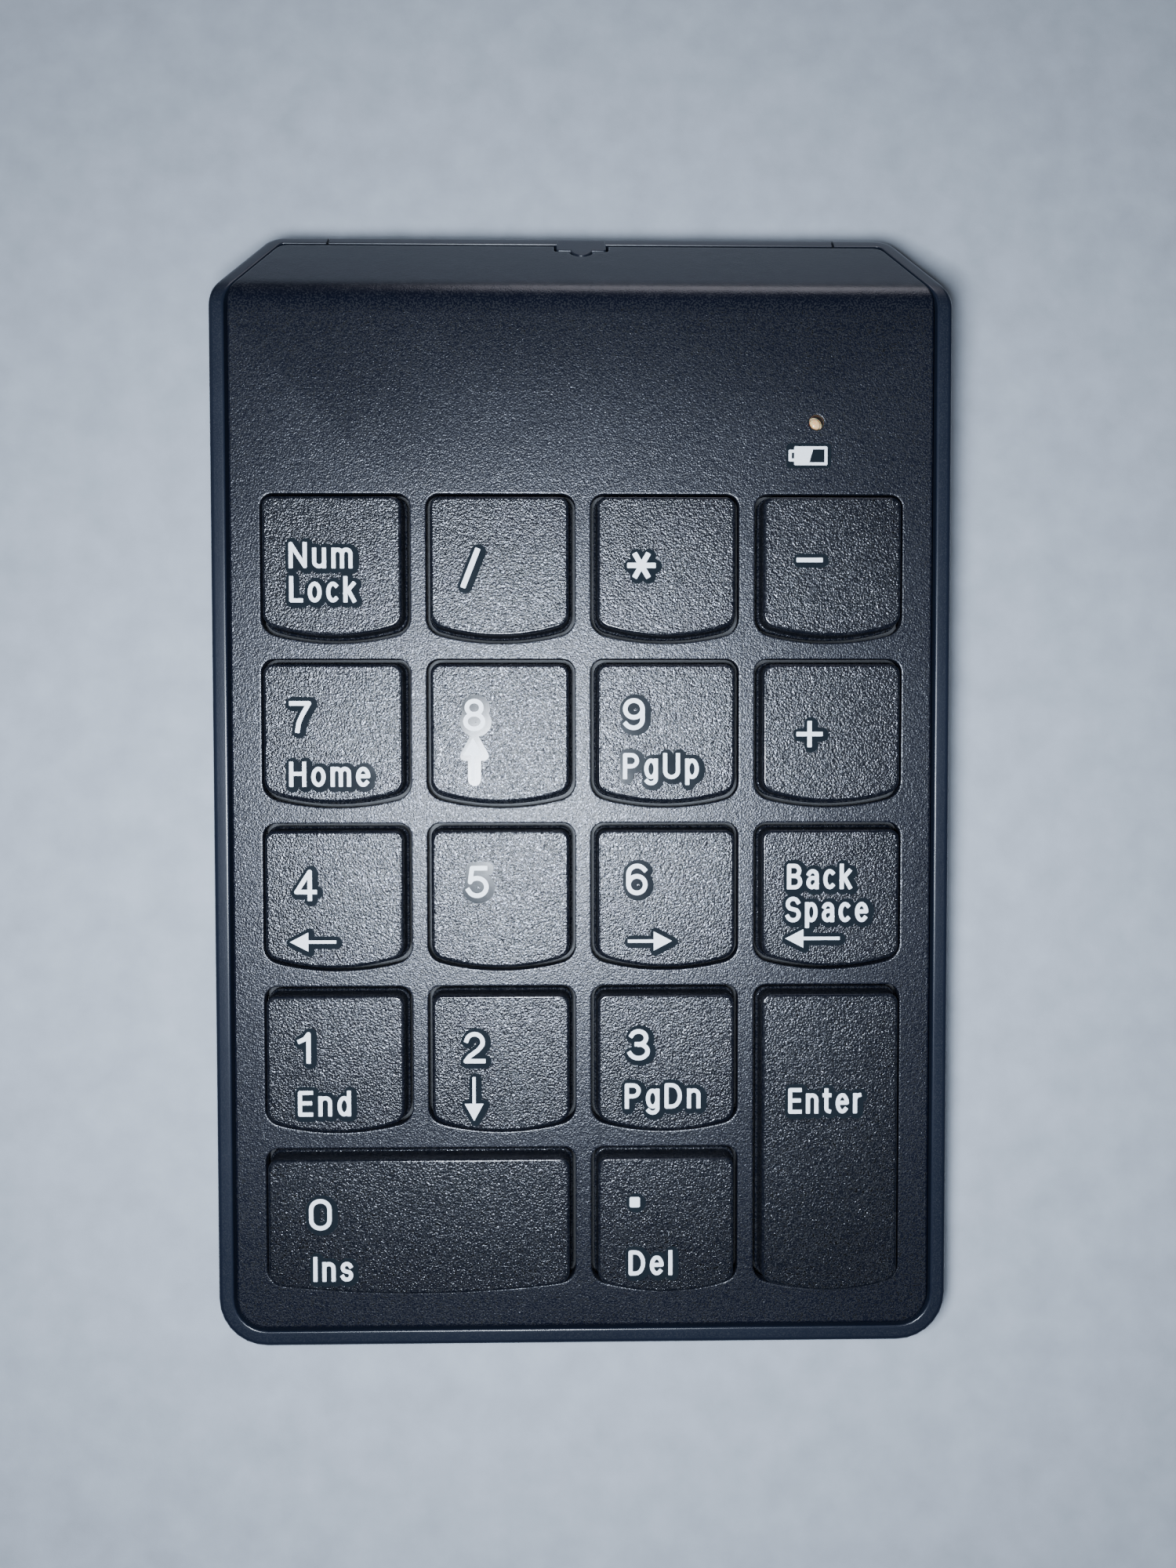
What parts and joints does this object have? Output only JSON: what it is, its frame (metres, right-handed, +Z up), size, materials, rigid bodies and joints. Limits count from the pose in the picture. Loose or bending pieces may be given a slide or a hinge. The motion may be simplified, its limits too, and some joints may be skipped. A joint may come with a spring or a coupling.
{
  "type": "numeric keypad",
  "caption": "Cordless numeric keypad: a low wedge-shaped case in two shells, bowed plunger keys with white legends over a rubber dome mat, and a battery door at the rear.",
  "frame": {"origin": "middle of the footprint, at table height under the feet", "axes": "+Z up, +Y from the front edge to the rear of the case, +X to the user's right"},
  "size_m": [0.0858, 0.1332, 0.0202],
  "materials": {
    "cover_plastic": "fine-grained blue-black moulded plastic",
    "lower_case_plastic": "smooth satin blue-black moulded plastic",
    "key_plastic": "coarse sand-grain blue-black plastic with white printed legends under clear lacquer",
    "frame_plastic": "plain dark grey plastic, a guess",
    "dome_silicone": "translucent off-white silicone, a guess",
    "membrane_film": "clear grey-green film with printed circuits, a guess",
    "sheet_steel": "plain zinc-plated sheet, a guess",
    "wire_steel": "bright drawn wire, a guess",
    "contact_nickel": "bright nickel plate, a guess",
    "screw_steel": "black-plated screw, a guess",
    "foot_rubber": "matt black rubber, a guess",
    "circuit_board": "green solder mask, a guess",
    "chip_black": "black moulded package, a guess",
    "lamp_amber": "clear amber plastic",
    "battery_sleeve": "plain printed sleeve, a guess",
    "lead_black": "black insulation, a guess",
    "lead_red": "red insulation, a guess"
  },
  "bodies": {
    "housing": {"bottom_case": "lower_case_plastic", "top_cover": "cover_plastic", "case_screw_front_left": "screw_steel", "case_screw_front_right": "screw_steel", "case_screw_rear_left": "screw_steel", "case_screw_rear_right": "screw_steel", "foot_front_left": "foot_rubber", "foot_front_right": "foot_rubber", "foot_rear_left": "foot_rubber", "foot_rear_right": "foot_rubber", "key_frame": "frame_plastic", "dome_mat": "dome_silicone", "membrane": "membrane_film", "back_plate": "sheet_steel", "circuit_board": "circuit_board", "controller_chip": "chip_black", "crystal": "sheet_steel", "membrane_clamp": "frame_plastic", "indicator_led": "lamp_amber", "light_pipe": "lamp_amber", "battery": "battery_sleeve", "battery_spring": "contact_nickel", "battery_contact": "contact_nickel", "battery_lead_black": "lead_black", "battery_lead_red": "lead_red"},
    "battery_door": {"battery_door": "lower_case_plastic"},
    "key_num_lock": {"key_num_lock": "key_plastic"},
    "key_divide": {"key_divide": "key_plastic"},
    "key_multiply": {"key_multiply": "key_plastic"},
    "key_subtract": {"key_subtract": "key_plastic"},
    "key_7": {"key_7": "key_plastic"},
    "key_8": {"key_8": "key_plastic"},
    "key_9": {"key_9": "key_plastic"},
    "key_add": {"key_add": "key_plastic"},
    "key_4": {"key_4": "key_plastic"},
    "key_5": {"key_5": "key_plastic"},
    "key_6": {"key_6": "key_plastic"},
    "key_backspace": {"key_backspace": "key_plastic"},
    "key_1": {"key_1": "key_plastic"},
    "key_2": {"key_2": "key_plastic"},
    "key_3": {"key_3": "key_plastic"},
    "key_enter": {"key_enter": "key_plastic"},
    "key_0": {"key_0": "key_plastic"},
    "key_decimal": {"key_decimal": "key_plastic"},
    "stabilizer_0": {"stabilizer_0": "wire_steel"},
    "stabilizer_enter": {"stabilizer_enter": "wire_steel"}
  },
  "joints": [
    {"name": "key_num_lock_press", "type": "slide", "parent": "housing", "child": "key_num_lock", "axis": [0, 0.0854, -0.9963], "range_m": [0, 0.002], "stiffness_N_per_m": 200, "springref_m": -0.0012, "deforming": ["dome_mat"]},
    {"name": "key_divide_press", "type": "slide", "parent": "housing", "child": "key_divide", "axis": [0, 0.0854, -0.9963], "range_m": [0, 0.002], "stiffness_N_per_m": 200, "springref_m": -0.0012, "deforming": ["dome_mat"]},
    {"name": "key_multiply_press", "type": "slide", "parent": "housing", "child": "key_multiply", "axis": [0, 0.0854, -0.9963], "range_m": [0, 0.002], "stiffness_N_per_m": 200, "springref_m": -0.0012, "deforming": ["dome_mat"]},
    {"name": "key_subtract_press", "type": "slide", "parent": "housing", "child": "key_subtract", "axis": [0, 0.0854, -0.9963], "range_m": [0, 0.002], "stiffness_N_per_m": 200, "springref_m": -0.0012, "deforming": ["dome_mat"]},
    {"name": "key_7_press", "type": "slide", "parent": "housing", "child": "key_7", "axis": [0, 0.0854, -0.9963], "range_m": [0, 0.002], "stiffness_N_per_m": 200, "springref_m": -0.0012, "deforming": ["dome_mat"]},
    {"name": "key_8_press", "type": "slide", "parent": "housing", "child": "key_8", "axis": [0, 0.0854, -0.9963], "range_m": [0, 0.002], "stiffness_N_per_m": 200, "springref_m": -0.0012, "deforming": ["dome_mat"]},
    {"name": "key_9_press", "type": "slide", "parent": "housing", "child": "key_9", "axis": [0, 0.0854, -0.9963], "range_m": [0, 0.002], "stiffness_N_per_m": 200, "springref_m": -0.0012, "deforming": ["dome_mat"]},
    {"name": "key_add_press", "type": "slide", "parent": "housing", "child": "key_add", "axis": [0, 0.0854, -0.9963], "range_m": [0, 0.002], "stiffness_N_per_m": 200, "springref_m": -0.0012, "deforming": ["dome_mat"]},
    {"name": "key_4_press", "type": "slide", "parent": "housing", "child": "key_4", "axis": [0, 0.0854, -0.9963], "range_m": [0, 0.002], "stiffness_N_per_m": 200, "springref_m": -0.0012, "deforming": ["dome_mat"]},
    {"name": "key_5_press", "type": "slide", "parent": "housing", "child": "key_5", "axis": [0, 0.0854, -0.9963], "range_m": [0, 0.002], "stiffness_N_per_m": 200, "springref_m": -0.0012, "deforming": ["dome_mat"]},
    {"name": "key_6_press", "type": "slide", "parent": "housing", "child": "key_6", "axis": [0, 0.0854, -0.9963], "range_m": [0, 0.002], "stiffness_N_per_m": 200, "springref_m": -0.0012, "deforming": ["dome_mat"]},
    {"name": "key_backspace_press", "type": "slide", "parent": "housing", "child": "key_backspace", "axis": [0, 0.0854, -0.9963], "range_m": [0, 0.002], "stiffness_N_per_m": 200, "springref_m": -0.0012, "deforming": ["dome_mat"]},
    {"name": "key_1_press", "type": "slide", "parent": "housing", "child": "key_1", "axis": [0, 0.0854, -0.9963], "range_m": [0, 0.002], "stiffness_N_per_m": 200, "springref_m": -0.0012, "deforming": ["dome_mat"]},
    {"name": "key_2_press", "type": "slide", "parent": "housing", "child": "key_2", "axis": [0, 0.0854, -0.9963], "range_m": [0, 0.002], "stiffness_N_per_m": 200, "springref_m": -0.0012, "deforming": ["dome_mat"]},
    {"name": "key_3_press", "type": "slide", "parent": "housing", "child": "key_3", "axis": [0, 0.0854, -0.9963], "range_m": [0, 0.002], "stiffness_N_per_m": 200, "springref_m": -0.0012, "deforming": ["dome_mat"]},
    {"name": "key_enter_press", "type": "slide", "parent": "housing", "child": "key_enter", "axis": [0, 0.0854, -0.9963], "range_m": [0, 0.002], "stiffness_N_per_m": 200, "springref_m": -0.0012, "deforming": ["dome_mat"]},
    {"name": "key_0_press", "type": "slide", "parent": "housing", "child": "key_0", "axis": [0, 0.0854, -0.9963], "range_m": [0, 0.002], "stiffness_N_per_m": 200, "springref_m": -0.0012, "deforming": ["dome_mat"]},
    {"name": "key_decimal_press", "type": "slide", "parent": "housing", "child": "key_decimal", "axis": [0, 0.0854, -0.9963], "range_m": [0, 0.002], "stiffness_N_per_m": 200, "springref_m": -0.0012, "deforming": ["dome_mat"]},
    {"name": "stabilizer_0_swing", "type": "hinge", "parent": "housing", "child": "stabilizer_0", "pos_m": [-0.01905, -0.052, 0.00744], "axis": [-1, 0, 0], "range_deg": [0, 21.1]},
    {"name": "stabilizer_enter_swing", "type": "hinge", "parent": "housing", "child": "stabilizer_enter", "pos_m": [0.02908, -0.04201, 0.0083], "axis": [0, -0.9963, -0.0854], "range_deg": [0, 21.1]},
    {"name": "battery_door_swing", "type": "hinge", "parent": "housing", "child": "battery_door", "pos_m": [0, 0.04302, 0.0005], "axis": [-1, 0, 0], "range_deg": [0, 70]}
  ],
  "couplings": [
    {"joint": "stabilizer_0_swing", "follows": "key_0_press", "rad_per_m": 182.84},
    {"joint": "stabilizer_enter_swing", "follows": "key_enter_press", "rad_per_m": 182.84}
  ]
}
